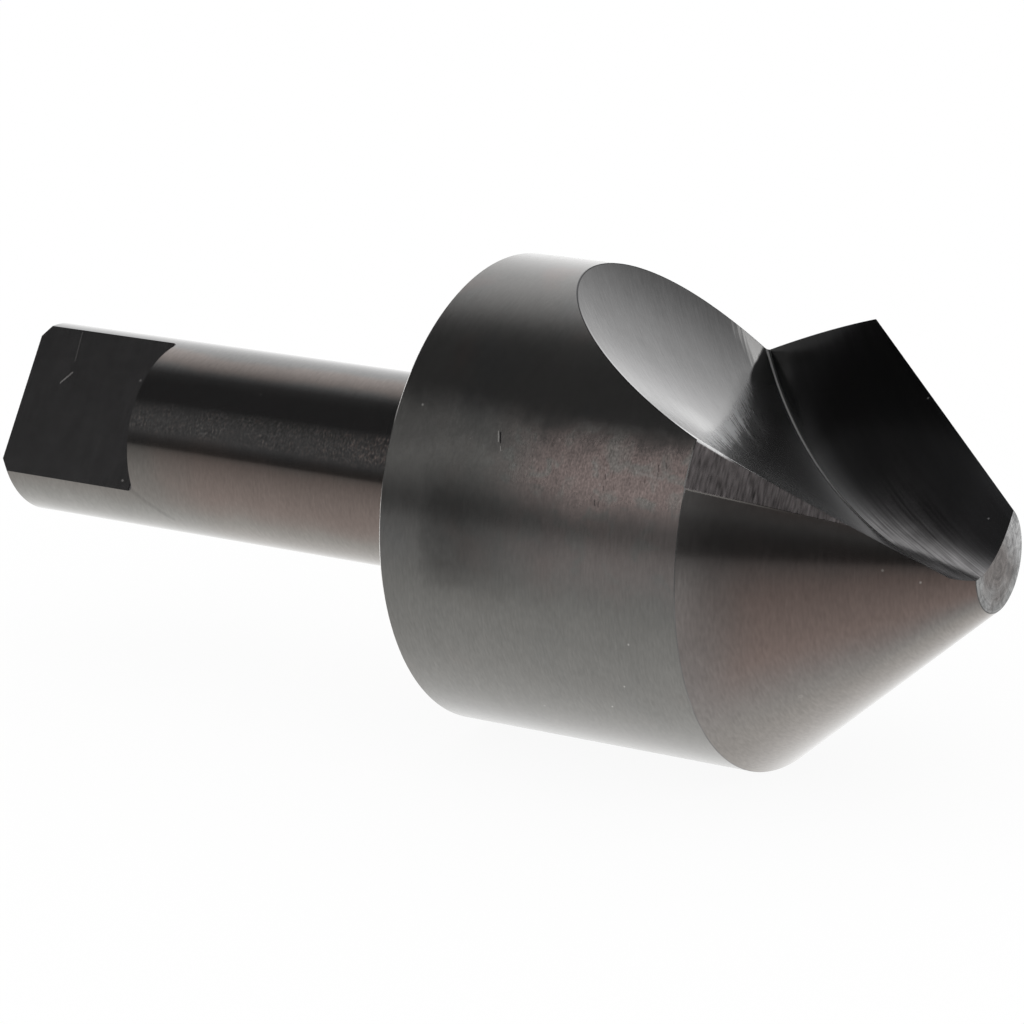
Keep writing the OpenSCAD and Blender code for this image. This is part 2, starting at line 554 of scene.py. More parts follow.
# %% The wheel's rim and the two directions that leave it
rim_share = clamp(row - 1, 0, given["Rim steps"]) / given["Rim steps"]
rim_angle = mix(given["Rim from"], given["Rim to"], rim_share)
outwards = given["Towards tip"] * rim_angle.maths("SINE")
outwards = outwards - given["Towards centre"] * rim_angle.maths("COSINE")
rim = given["Wheel centre"] + outwards * given["Wheel radius"]
flank = (given["Wheel axis"] + outwards * given["Wheel taper"].maths("TANGENT")).maths("NORMALIZE")
swing = node_sum(wheel_tree, "CROSS_PRODUCT", along, rim)
feed = (swing * given["Twist"] + along).maths("NORMALIZE")
print(len(wheel_tree.nodes), "nodes up to the wheel's rim")

# %% The rounded corner between them
corner_r = given["Corner radius"]
half = flank.maths("DOT_PRODUCT", feed).maths("ARCCOSINE") / 2
corner_mid = rim + (flank + feed).maths("NORMALIZE") * (corner_r / half.maths("SINE"))
corner_reach = corner_r / half.maths("TANGENT")
from_flank = (rim + flank * corner_reach - corner_mid).maths("NORMALIZE")
to_feed = (rim + feed * corner_reach - corner_mid).maths("NORMALIZE")
arc = math.pi - half * 2
corner_share = clamp(column - 1, 0, given["Corner steps"]) / given["Corner steps"]
along_arc = from_flank * ((1 - corner_share) * arc).maths("SINE")
along_arc = along_arc + to_feed * (corner_share * arc).maths("SINE")
rounded_point = corner_mid + along_arc * (corner_r / arc.maths("SINE"))
print(len(wheel_tree.nodes), "nodes up to the rounded corner")


# %% The feed along the helix
def fed(distance):
    """The rim's point after the wheel has moved on by that distance, turning with the helix."""
    angle = distance * given["Twist"]
    towards_axis = rim * Vector((0, -1, -1))
    turned = rim + swing * angle.maths("SINE") + towards_axis * (1 - angle.maths("COSINE"))
    return turned + add_node(wheel_tree, "ShaderNodeCombineXYZ", {}, {"X": distance})


feed_length = given["Feed length"]
feed_share = clamp(column - corner_end, 0, given["Feed steps"]) / given["Feed steps"]
feed_point = fed(mix(corner_reach, feed_length, feed_share))
flank_reach = flank * given["Flank length"]
ends = [rim + flank_reach, rim, fed(feed_length), fed(feed_length) + flank_reach]
middle = (ends[0] + ends[1] + ends[2] + ends[3]) / 4

bent = mix(ends[0], rounded_point, after(column, 0.5))
bent = mix(bent, feed_point, after(column, corner_end + 0.5))
bent = mix(bent, ends[3], after(column, feed_end + 0.5))
bent = mix(bent, ends[0], after(column, feed_end + 1.5))
in_cap = after((row - last_row / 2).maths("ABSOLUTE"), last_row / 2 - 0.5)
bent = mix(bent, middle, in_cap)
print("the wheel feeds out", round(REACH_FEED * head_r / MM, 1), "mm")

# %% [markdown]
# Two things are written on the flat grid before it is bent, because they are simple there: which part of
# the wheel leaves each face, and how far each corner lies along the rim and across the flute. The first
# picks the finish, and the second carries the grinding marks round the helix.

# %% Bend the grid and grind the bar with it
def stored(geometry, name, kind, domain, value):
    settings = {"data_type": kind, "domain": domain}
    inputs = {"Geometry": geometry, "Name": name, "Value": value}
    return add_node(wheel_tree, "GeometryNodeStoreNamedAttribute", settings, inputs)


# 1 for the wheel's flank, 2 for its rounded corner and 3 for its feed
wheel_side = 1 + after(column, 1) + after(column, corner_end)
path_across = corner_share - 1 + feed_share * feed_length * (1 / MM)
path_uv = add_node(wheel_tree, "ShaderNodeCombineXYZ", {}, {"X": rim_angle, "Y": path_across})

wheel = stored(grid, "wheel_side", "INT", "FACE", wheel_side)
wheel = stored(wheel, "wheel_path", "FLOAT2", "CORNER", path_uv)
wheel = add_node(wheel_tree, "GeometryNodeSetPosition", {}, {"Geometry": wheel, "Position": bent})
wheel = add_node(wheel_tree, "GeometryNodeMergeByDistance", {}, {"Geometry": wheel, "Distance": 1e-6})
wheel = add_node(wheel_tree, "GeometryNodeFlipFaces", {}, {0: wheel})

grinding = {"operation": "DIFFERENCE", "solver": "EXACT"}
fluted = {"Mesh 1": given["Bar"], "Mesh 2": wheel}
fluted = add_node(wheel_tree, "GeometryNodeMeshBoolean", grinding, fluted)
fluted = add_node(wheel_tree, "GeometryNodeRealizeInstances", {}, {"Geometry": fluted})
named = "GeometryNodeInputNamedAttribute"
left_by = add_node(wheel_tree, named, {"data_type": "INT"}, {"Name": "wheel_side"})
for number, name in enumerate(["Scoop finish", "Crease finish", "Rake finish"], 1):
    chosen = (left_by - number).maths("COMPARE", 0, 0.5)
    inputs = {"Geometry": fluted, "Selection": chosen, "Material": given[name]}
    fluted = add_node(wheel_tree, "GeometryNodeSetMaterial", {}, inputs)
add_node(wheel_tree, "NodeGroupOutput", {}, {"Fluted bar": fluted})
print(len(wheel_tree.nodes), "nodes")

# %% Run the tree and keep the result as a plain mesh
grinder = bar.modifiers.new("flute", "NODES")
grinder.node_group = wheel_tree
for name, (kind, value) in wheel_inputs.items():
    if kind != "Geometry":
        grinder[identifiers[name]] = value

graph = bpy.context.evaluated_depsgraph_get()
bit_mesh = bpy.data.meshes.new_from_object(bar.evaluated_get(graph), depsgraph=graph)
bit_mesh.name = "ground_bit"
bit = bpy.data.objects.new("ground_bit", bit_mesh)
scene.collection.objects.link(bit)
for used_up in (bar, mill):
    bpy.data.objects.remove(used_up)
print("bit:", len(bit_mesh.vertices), "points,", len(bit_mesh.polygons), "faces")
print("finishes on it:", [material.name if material else None for material in bit_mesh.materials])

# %% [markdown]
# ## Smooth shading that follows the real surfaces
# The cuts leave long thin faces along their edges, and Blender's own smooth shading would bend the light
# there. But every surface has a formula, so its true direction is known at every corner of every face.
# These directions are given to the mesh as custom normals. On the narrow edge faces the direction turns
# from one neighbour to the other, which makes them look rounded.

# %% Corners of the faces, sorted by surface
bit_mesh.polygons.foreach_set("use_smooth", [True] * len(bit_mesh.polygons))


def read(collection, name, width, kind=float):
    values = np.zeros(len(collection) * width, kind)
    collection.foreach_get(name, values)
    return values.reshape(-1, width) if width > 1 else values


corner_at = read(bit_mesh.vertices, "co", 3)[read(bit_mesh.loops, "vertex_index", 1, int)]
face_size = read(bit_mesh.polygons, "loop_total", 1, int)
face_of_corner = np.repeat(np.arange(len(face_size)), face_size)
face_direction = read(bit_mesh.polygons, "normal", 3)
face_middle = read(bit_mesh.polygons, "center", 3)
slot_names = np.array([material.name for material in bit_mesh.materials])
face_surface = slot_names[read(bit_mesh.polygons, "material_index", 1, int)]
corner_surface = face_surface[face_of_corner]
rim_at = read(bit_mesh.uv_layers["wheel_path"].uv, "vector", 2)[:, 0]
print(len(corner_at), "corners")


# %% Small sums on rows of directions
ALONG, FLAT_OUT = np.array(along), np.array(flat_out)
WHEEL_AXIS, WHEEL_CENTRE = np.array(wheel_axis), np.array(wheel_centre)
TO_CENTRE, TO_TIP = np.array(to_centre), np.array(to_tip)


def units(rows):
    return rows / np.linalg.norm(rows, axis=1, keepdims=True)


def blended(first, second, share):
    return units(first + (second - first) * share)


def ramp(values, low, high):
    return np.clip((values - low) / (high - low), 0, 1)[:, None]


def radial(points, middle=(0, 0, 0)):
    """Away from a line along X through middle."""
    return units((points - np.array(middle)) * (0, 1, 1))


def turned(rows, angles):
    """Each row turned about X by its angle."""
    sine, cosine = np.sin(angles), np.cos(angles)
    x, y, z = rows.T
    return np.stack([x, cosine * y - sine * z, sine * y + cosine * z], 1)


def facing(rows, faces):
    """The rows as directions, each turned to the side to which its face looks."""
    return units(rows) * np.sign((rows * face_direction[faces]).sum(1))[:, None]


# %% The wheel's rim at any angle along it
def rim_out(angle):
    return np.sin(angle)[:, None] * TO_TIP - np.cos(angle)[:, None] * TO_CENTRE


def rim_forward(angle):
    return np.sin(angle)[:, None] * TO_CENTRE + np.cos(angle)[:, None] * TO_TIP


def rim_place(angle):
    return WHEEL_CENTRE + wheel_r * rim_out(angle)


def feed_forward(points):
    return ALONG + twist * np.cross(ALONG, points)


# %% [markdown]
# Each rule below takes the places of the corners, their faces and their angles along the wheel's rim, and
# gives a direction for each corner.

# %% Rules for the turned and milled surfaces
def cone_direction(points, faces, *_):
    turn = np.arctan2(face_middle[faces][:, 2], face_middle[faces][:, 1])
    off_centre = np.array([has_clearance(t) and not on_land(t) for t in turn])
    away = np.where(off_centre[:, None], radial(points, clearance_side), radial(points))
    return math.sin(cone_half) * ALONG + math.cos(cone_half) * away


def tip_edge_direction(points, faces, *_):
    share = ramp(points[:, 0], tip_x - EDGE_WIDTH * 0.75, tip_x)
    return blended(cone_direction(points, faces), ALONG, share)


def cone_edge_direction(points, faces, *_):
    inside = np.linalg.norm(points[:, 1:], axis=1) < head_r - 0.001 * MM
    return blended(radial(points), cone_direction(points, faces), inside[:, None])


def back_edge_direction(points, *_):
    return blended(-ALONG, radial(points), ramp(points[:, 0], 0, back_bevel))


def shoulder_direction(points, *_):
    """Square to the shoulder, and round the fillet below it."""
    x = points[:, 0] - fillet_mid[0]
    out = points @ FLAT_OUT - fillet_mid[1]
    rounded = units(-x[:, None] * ALONG - out[:, None] * FLAT_OUT)
    return np.where((out < 0)[:, None], rounded, -ALONG)


# %% Rules for the flute
def scoop_direction(points, *_):
    from_centre = points - WHEEL_CENTRE
    angle = np.arctan2(from_centre @ TO_TIP, -from_centre @ TO_CENTRE)
    return units(math.tan(wheel_taper) * WHEEL_AXIS - rim_out(angle))


def crease_direction(points, faces, angle):
    flank = units(WHEEL_AXIS + math.tan(wheel_taper) * rim_out(angle))
    feed = units(feed_forward(rim_place(angle)))
    half = np.arccos((flank * feed).sum(1)) / 2
    middle = rim_place(angle) + units(flank + feed) * (crease_fillet / np.sin(half))[:, None]
    across = np.cross(np.cross(flank, feed), middle - points)
    return facing(np.cross(across, rim_forward(angle)), faces)


def rake_direction(points, faces, angle):
    moved = points[:, 0] - rim_place(angle)[:, 0]
    return facing(np.cross(turned(rim_forward(angle), twist * moved), feed_forward(points)), faces)


# %% Give the mesh its directions
direction_rules = {
    "tip_face": lambda *_: ALONG,
    "tip_edge": tip_edge_direction,
    "cone": cone_direction,
    "heel_land": cone_direction,
    "cone_edge": cone_edge_direction,
    "body": lambda points, *_: radial(points),
    "back_edge": back_edge_direction,
    "back_face": lambda *_: -ALONG,
    "shank": lambda points, *_: radial(points),
    "end_edge": lambda points, *_: units(radial(points) - ALONG),
    "end_face": lambda *_: -ALONG,
    "drive_flat": lambda *_: FLAT_OUT,
    "flat_shoulder": shoulder_direction,
    "scoop": scoop_direction,
    "crease": crease_direction,
    "rake_face": rake_direction,
}
corner_direction = face_direction[face_of_corner]
for surface, rule in direction_rules.items():
    chosen = corner_surface == surface
    faces = face_of_corner[chosen]
    corner_direction[chosen] = rule(corner_at[chosen], faces, rim_at[chosen])
    lean = (corner_direction[chosen] * face_direction[faces]).sum(1)
    most = math.degrees(math.acos(min(lean.min(), 1)))
    print(f"{surface:14} {chosen.sum():6} corners, at most {most:.1f} degrees off the faces")
bit_mesh.normals_split_custom_set(corner_direction.tolist())

# %% The finished mesh stands for the CAD part
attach(bit, "root")
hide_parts("countersink_bit")
print(bit.name, "stands for the part")

# %% [markdown]
# ## Tools for the finishes
# Steel shows its history in three ways: in its colour, in how sharply it mirrors, and in its fine relief.
# All three follow the way the surface was made, and some colours also hold painted highlights and painted
# shade. So every finish first asks where it is on the tool: how far along the axis, how far round it, how
# far from it, and how far from the path of the grinding wheel. A painted image would need seams on such a
# shape, and formulas of the place don't.

# %% Helpers for shader trees
def empty_tree(owner):
    """The owner's node tree, emptied."""
    owner.use_nodes = True
    owner.node_tree.nodes.clear()
    return owner.node_tree


def rays(tree, *names):
    """1 for the rays of those kinds, else 0."""
    wires = [add_node(tree, "ShaderNodeLightPath", output=name) for name in names]
    return sum(wires[1:], wires[0])


# %% Values that change over a surface
def smooth_range(value, low, high, first=0, last=1):
    """first where value is at low, last where it is at high, with an even change between them."""
    settings = {"interpolation_type": "SMOOTHSTEP"}
    inputs = {"Value": value, "From Min": low, "From Max": high, "To Min": first, "To Max": last}
    return add_node(value.tree, "ShaderNodeMapRange", settings, inputs)


def window(value, low, high, soft):
    """1 where value lies between low and high, 0 outside, with a change as wide as soft."""
    rise = smooth_range(value, low - soft / 2, low + soft / 2)
    return rise * smooth_range(value, high + soft / 2, high - soft / 2)


def curve(value, points):
    """Straight lines through points (place, height) that lie from left to right."""
    low, high = points[0][0], points[-1][0]
    top = max(height for _, height in points)
    stops = [((x - low) / (high - low), height / top) for x, height in points]
    share = {"Fac": (value - low) / (high - low)}
    drawn = add_node(value.tree, "ShaderNodeValToRGB", {"stops": stops}, share, output="Color")
    return add_node(value.tree, "ShaderNodeSeparateColor", {}, {0: drawn}, output="Red") * top


def noise(vector, scale, detail=2, distortion=0):
    """Cloudy values about 0, mostly from -0.4 to 0.4."""
    inputs = {"Vector": vector, "Scale": scale, "Detail": detail, "Distortion": distortion}
    return (add_node(vector.tree, "ShaderNodeTexNoise", {}, inputs, output="Fac") - 0.5) * 2


# %% Colours
# The Mix node's sockets for its factor and for its two colours
FACTOR, COLOUR_A, COLOUR_B = 0, 6, 7


def tint(first, second, share):
    """The colour first where share is 0, second where it is 1."""
    ends = [colour if isinstance(colour, Wire) else (*colour, 1) for colour in (first, second)]
    inputs = {FACTOR: share, COLOUR_A: ends[0], COLOUR_B: ends[1]}
    return add_node(share.tree, "ShaderNodeMix", {"data_type": "RGBA"}, inputs)


def shaded(colour, factor):
    """The colour made lighter or darker by the factor."""
    return scaled(factor.tree, colour, factor)


# %% Where a point lies on the tool
class Place:
    """The point that is being shaded, in millimetres and degrees."""

    def __init__(self, name):
        self.name = name
        self.tree = empty_tree(finishes[name])
        self.point = add_node(self.tree, "ShaderNodeTexCoord", output="Object") * (1 / MM)
        self.x, self.y, self.z = split(self.point)
        self.radius = (self.y * self.y + self.z * self.z).maths("SQRT")
        self.turn = (self.z.maths("ARCTAN2", self.y) * (180 / math.pi)).maths("FLOORED_MODULO", 360)
        # Marks change quickly across the cut and slowly along it. On the bar they run round the axis.
        self.across, self.lengthwise = self.x, (self.y, self.z)

    def ground_by_wheel(self):
        """Turns the marks to run along the wheel's rim, and reads how far the wheel was fed."""
        rim_turn, self.fed, _ = split(add_node(self.tree, "ShaderNodeUVMap", {"uv_map": "wheel_path"}))
        along_rim = rim_turn * (wheel_r / MM)
        self.across, self.lengthwise = self.fed, (along_rim, self.x * 0)

    def marks(self, spacing, length, detail=2):
        """Grinding marks that far apart and about that long: noise, stretched along the cut."""
        first, second = self.lengthwise
        vector = {"X": self.across / spacing, "Y": first / length, "Z": second / length}
        return noise(add_node(self.tree, "ShaderNodeCombineXYZ", {}, vector), 1, detail)

    def wheel_gap(self):
        """How far the point is from the wheel's flank, and how far behind the plane of its rim."""
        from_centre = self.point - wheel_centre / MM
        behind_rim = from_centre.maths("DOT_PRODUCT", wheel_axis)
        out = (from_centre - scaled(self.tree, wheel_axis, behind_rim)).maths("LENGTH")
        return out - wheel_r / MM - behind_rim * math.tan(wheel_taper), behind_rim

    def spot(self, centre, size):
        """1 within that size of a point on the tool, fading to 0."""
        return smooth_range((self.point - Vector(centre)).maths("LENGTH"), size, size * 0.4)

    def scratch(self, start, end, width, strength=1):
        """That strength on the straight line between two points, fading to 0."""
        first, last = Vector(start), Vector(end)
        way = last - first
        share = clamp((self.point - first).maths("DOT_PRODUCT", way / way.length_squared), 0, 1)
        nearest = scaled(self.tree, way, share) + first
        return smooth_range((self.point - nearest).maths("LENGTH"), width, width * 0.4) * strength

    def strongest(self, scratches):
        """The strongest here of a list of scratches."""
        found = [self.scratch(*scratch) for scratch in scratches]
        total = found[0]
        for one in found[1:]:
            total = total.maths("MAXIMUM", one)
        return total

    def steel(self, colour, metallic, roughness, relief, depth=0.001, shade=None):
        """A metal with that colour, sharpness and relief in mm, painted black as shade where shade is 1."""
        bump = {"Height": relief, "Distance": depth * MM, "Strength": 1.0}
        normal = add_node(self.tree, "ShaderNodeBump", {}, bump)
        inputs = {"Base Color": colour, "Metallic": metallic, "Roughness": roughness, "Normal": normal}
        shader = add_node(self.tree, "ShaderNodeBsdfPrincipled", {}, inputs)
        if shade is not None:
            painted_black = {"Base Color": (0.012, 0.012, 0.012, 1), "Roughness": 0.6, "Specular IOR Level": 0.1}
            black = add_node(self.tree, "ShaderNodeBsdfPrincipled", {}, painted_black)
            # Both shader sockets have the same name, so they are given by number
            shader = add_node(self.tree, "ShaderNodeMixShader", {}, {0: shade, 1: shader, 2: black})
        add_node(self.tree, "ShaderNodeOutputMaterial", {}, {"Surface": shader})
        print(f"{self.name}: {len(self.tree.nodes)} nodes")


# %% [markdown]
# ## The head
# The head was ground round after it was hardened. The stone leaves very fine marks round the axis. Heat and
# oil have left a thin oxide on the steel: grey for the most part, and in one wide band along the axis it is
# browner, paler and less metallic, more like a paint than a metal. The band could be painted on an image,
# but formulas stay sharp at any distance. Soft windows on the turn and on the place along the axis give the
# band its outline, and noise frays it.

# %% Body of the head: grinding marks and clouds
place = Place("body")
fine, hair, broad = place.marks(0.22, 1.6, 1), place.marks(0.15, 0.7, 0), place.marks(1.6, 14)
grit, ticks = place.marks(0.16, 0.26, 1), place.marks(0.25, 0.8, 0)
cloud, patchy = noise(place.point, 0.11, 4), noise(place.point, 0.45, 3, 0.6)
wander = noise(place.point, 0.09, 3) * 14
calm = smooth_range(place.turn, 96, 125, 0.45, 1)
lower = smooth_range(place.turn, 174, 192)
print(len(place.tree.nodes), "nodes for its marks and clouds")

# %% Body of the head: the brown band and the dark stain in it
# How strong they are by millimetres along the axis or by degrees round it
BAND_ALONG = [(0, 0.32), (11, 0.42), (16, 0.7), (22, 0.93), (31, 0.93)]
STAIN_ALONG = [(0, 0), (4, 0.15), (4.8, 0.6), (6.4, 1), (9, 0.95), (12, 0.62), (15, 0.35), (26, 0)]
STAIN_ROUND = [
    (157, 0),
    (162, 0.65),
    (167, 0.95),
    (172, 1.15),
    (178, 1.5),
    (184, 1.4),
    (188, 0.9),
    (191, 0.3),
    (194, 0),
]

band_x = place.x + wander * 0.3
band_turn = place.turn + wander * 0.35 + patchy * 2
brown = smooth_range(band_x, 9.5, 17)
band = smooth_range(band_turn - brown * 3, 141.5, 150.5) * smooth_range(band_turn, 170, 158)
band = band * curve(band_x, BAND_ALONG)
bloom = band * (patchy * 0.35 + 1 + grit * (0.1 + brown * 0.35) + fine * brown * 0.12)
tail = window(band_turn, 158, 182, 14) * smooth_range(band_x, 8, 23, 0.35, 1)
stain = curve(place.x + patchy * 1.2, STAIN_ALONG) * curve(place.turn + patchy * 2, STAIN_ROUND)
stain_turn = STAIN_ROUND[-1][0] - STAIN_ROUND[0][0]
print("the stain covers", STAIN_ALONG[-1][0], "mm of the head and", stain_turn, "degrees")

# %% Body of the head: scratches, specks and a painted dark rim
# Each is a short line in millimetres: its start, its end, its width and its strength.
DARK_TICKS = [
    ((11.38, -19.46, 10.74), (11.64, -19.87, 9.94), 0.09, 1.0),
    ((22.85, -20.45, 8.66), (22.94, -20.59, 8.31), 0.1, 0.5),
    ((22.90, -20.85, 7.66), (22.98, -20.97, 7.35), 0.1, 0.4),
    ((22.24, -21.27, 6.44), (22.32, -21.40, 6.00), 0.11, 0.55),
    ((22.64, -21.31, 6.30), (22.70, -21.42, 5.92), 0.1, 0.4),
    ((27.85, -19.85, 10.00), (28.00, -20.07, 9.54), 0.1, 0.5),
    ((28.55, -19.72, 10.25), (28.70, -19.92, 9.87), 0.12, 0.5),
]
LIGHT_TICKS = [
    ((11.15, -19.43, 10.80), (11.40, -19.83, 10.02), 0.08, 1.0),
    ((11.74, -20.03, 9.62), (11.83, -20.18, 9.30), 0.08, 0.6),
    ((2.58, -18.68, 12.04), (2.60, -18.70, 12.02), 0.15, 1.0),
    ((26.02, -20.23, 9.19), (28.55, -20.34, 8.96), 0.16, 0.14),
    ((22.72, -20.25, 9.17), (22.74, -20.27, 9.12), 0.12, 0.3),
    ((22.50, -20.80, 7.80), (22.52, -20.83, 7.72), 0.12, 0.3),
    ((25.85, -21.36, -6.16), (25.83, -21.35, -6.20), 0.13, 0.4),
    ((24.35, -19.45, -10.76), (24.33, -19.43, -10.79), 0.12, 0.35),
    ((22.08, -17.68, -13.47), (22.06, -17.66, -13.50), 0.12, 0.35),
    ((14.10, -16.32, -15.08), (14.12, -16.30, -15.10), 0.12, 0.3),
]
gap, behind_rim = place.wheel_gap()
# A painted dark reflection: a thin dark line on the head along the scoop's rim
painted_dark_rim = smooth_range(gap, 0.09, 0.04) * smooth_range(behind_rim, -1, 0)
groove, scratch = place.strongest(DARK_TICKS), place.strongest(LIGHT_TICKS)
print(len(DARK_TICKS), "dark and", len(LIGHT_TICKS), "light scratches")

# %% Body of the head: colours and shine
grey_steel, rosy_steel = (0.212, 0.208, 0.203), (0.234, 0.206, 0.198)
cool_steel, lower_steel = (0.208, 0.212, 0.214), (0.228, 0.224, 0.21)
grey_oxide, brown_oxide = (0.362, 0.355, 0.335), (0.43, 0.345, 0.325)
dark_line, bare_metal = (0.03, 0.03, 0.035), (0.75, 0.73, 0.7)

rosy = smooth_range(noise(place.point + Vector((40, 0, 0)), 0.17, 3), 0.1, 0.5)
browner = clamp(brown - smooth_range(patchy, 0.02, 0.35) * 0.75, 0, 1)
colour = tint(grey_steel, rosy_steel, rosy * 0.7)
colour = tint(colour, cool_steel, smooth_range(cloud, 0.05, -0.4) * 0.6)
colour = tint(colour, lower_steel, lower * 0.75)
colour = tint(colour, tint(grey_oxide, brown_oxide, browner), clamp(bloom + tail * 0.3, 0, 1))
marking = (fine * 0.09 + hair * 0.11) * calm + broad * 0.04
colour = shaded(colour, 1 + marking + cloud * 0.09 + patchy * 0.04 + lower * 0.02)
nicks = smooth_range(ticks, 0.46, 0.62) * 0.3 - smooth_range(ticks, -0.46, -0.62) * 0.2
colour = shaded(colour, 1 - stain * (0.3 + patchy * 0.1) - bloom * brown * nicks + bloom * grit * 0.4)
colour = tint(colour, dark_line, painted_dark_rim.maths("MAXIMUM", groove))
colour = tint(colour, bare_metal, scratch)
metallic = clamp(0.965 - bloom * 0.2 - tail * 0.11, 0, 1)
roughness = clamp(0.2 + band * 0.12 + cloud * 0.03 + fine * 0.04, 0.05, 1)
place.steel(colour, metallic, roughness, (fine + hair * 0.5) * calm, 0.0005)

# %% Cutting cone: marks, brown patches and the line at the end of the land
place = Place("cone")
fine, hair, broad = place.marks(0.22, 1.6, 1), place.marks(0.15, 0.7, 0), place.marks(1.8, 16)
cloud, patchy = noise(place.point, 0.12, 4), noise(place.point, 0.45, 3, 0.5)
wander = cloud * 8
front_patch = window(place.turn + wander, 172, 215, 26)
far_patches = smooth_range(noise(place.point, 0.07, 2), -0.1, 0.3) * window(place.turn, 49, 160, 10) * 0.6
rusty = front_patch.maths("MAXIMUM", far_patches) * smooth_range(place.x + wander * 0.25, 30, 37, 0.25, 1)
from_land = (place.turn - math.degrees(heel_turn)) * place.radius * (math.pi / 180)
glint = smooth_range(from_land, 0.2, 0.1) * smooth_range(from_land, -0.5, -0.2)
glint = glint * smooth_range(place.x + cloud * 2, 39, 33)
pit = (37.74, -11.43, -11.59)
specks = place.spot((44.86, -10.06, 0.74), 0.17) + place.spot((47.46, -7.81, -0.5), 0.16)
specks = specks + (place.spot(pit, 0.3) - place.spot(pit, 0.18)) * 0.3
print(len(place.tree.nodes), "nodes for its marks and patches")

# %% Cutting cone: colours and shine
grey_steel, warm_steel = (0.212, 0.205, 0.2), (0.254, 0.236, 0.219)
rust_brown, bare_metal = (0.235, 0.182, 0.164), (0.7, 0.66, 0.62)
LIGHT_ALONG_CONE = [(30.8, 1.24), (33, 1.14), (35, 1.05), (38, 1.0), (43, 0.95), (50, 0.9)]

colour = tint(grey_steel, warm_steel, smooth_range(place.turn + wander, 205, 236))
colour = tint(colour, rust_brown, rusty)
along_cone = curve(place.x, LIGHT_ALONG_CONE)
lower = smooth_range(place.turn, 212, 240)
along_cone = along_cone + smooth_range(place.x, 33.6, 31) * smooth_range(place.turn, 198, 176) * 0.5
# Painted shade: the cone is made darker below turn 163, next to the end of the land
colour = shaded(colour, mix(along_cone, 1.08, lower) * smooth_range(place.turn, 158, 163, 0.78, 1))
colour = shaded(colour, 1 + fine * 0.09 + hair * 0.12 + broad * 0.04 + cloud * 0.08 + patchy * 0.06)
colour = tint(colour, bare_metal, clamp(specks * 0.5 + glint * 0.5, 0, 1))
roughness = clamp(0.15 + fine * 0.04 + cloud * 0.03, 0, 1)
place.steel(colour, 0.988 - glint * 0.13, roughness, fine + hair * 0.5, 0.0005)

# %% [markdown]
# The land has coarser marks than the cone, and a lip along the scoop that is painted bright, as a painted
# reflection. The step where it ends is too low to see as a step. It shows as a light line, so the step gets
# the same finish as the land, but lighter: a painted highlight.

# %% Land behind the flute, and the line where it ends
land_steel, dark_line, lip_sheen_white = (0.235, 0.213, 0.214), (0.05, 0.05, 0.055), (0.85, 0.85, 0.85)

# The step's extra lightness is a painted highlight
for name, lightness in (("heel_land", 1.0), ("heel_step", 2.6)):
    place = Place(name)
    hatch, hair, broad = place.marks(0.18, 2.2, 1), place.marks(0.13, 1.0, 0), place.marks(0.9, 5)
    cloud = noise(place.point, 0.4, 3, 0.5)
    gap, behind_rim = place.wheel_gap()
    beside_scoop = smooth_range(behind_rim, -1, 0)
    # The lip along the scoop is painted bright, as a painted reflection
    lip = smooth_range(gap, 0.22, 0.08) * beside_scoop * smooth_range(place.x, 34, 32.5)
    # A painted dark reflection: a thin dark line on the land along the scoop's rim
    painted_dark_rim = smooth_range(gap, 0.1, 0.04) * beside_scoop * smooth_range(place.x, 35, 33, 0.25, 1)
    base_end = smooth_range(place.x + cloud * 3, 37, 30)
    near_scoop = smooth_range(place.turn, 152, 146)
    ahead = smooth_range(place.x, 33, 39, 0.45, 1)
    shade = 1.22 + (hatch * 0.35 + broad * 0.2) * ahead + hair * 0.85 + cloud * 0.3
    shade = shade + near_scoop * 0.3 - ahead * 0.08
    shade = (shade + smooth_range(place.x, 37, 41) * 0.2) * (1 + base_end * (lightness - 1))
    colour = tint(tint(shaded(land_steel, shade), dark_line, painted_dark_rim), lip_sheen_white, lip)
    metallic = 0.955 - base_end * 0.04 * lightness - lip * 0.6 - clamp(hatch, 0, 1) * 0.12
    place.steel(colour, metallic, 0.28 + hatch * 0.1, hatch + broad, 0.001)

# %% [markdown]
# The flat on the tip was faced on the lathe and then worn: its middle is dark and its rim is rubbed bright.
# Its marks are rings, so here the radius takes the place of the axis.

# %% Flat on the tip
place = Place("tip_face")
place.across = place.radius
fine, scratches = place.marks(0.16, 2.5), place.marks(0.35, 5, 1)
cloud, blotch = noise(place.point, 0.55, 4), noise(place.point + Vector((0, 9, 4)), 1.1, 4, 1.0)
worn = smooth_range(place.radius + cloud * 2.4, 2.0, 4.6)
polished = smooth_range(place.y * 0.8 + place.z * 0.6 + cloud * 1.5, 0.8, 4)
dark_middle, worn_rim, polished_rim = (0.205, 0.186, 0.178), (0.37, 0.372, 0.37), (0.56, 0.56, 0.56)
colour = tint(tint(dark_middle, worn_rim, worn), polished_rim, polished)
colour = shaded(colour, 0.96 + fine * 0.45 + scratches * 0.25 + blotch * 0.95)
place.steel(colour, 0.96, 0.25 + blotch * 0.12, fine * 0.6 + scratches * 0.6 + blotch, 0.003)
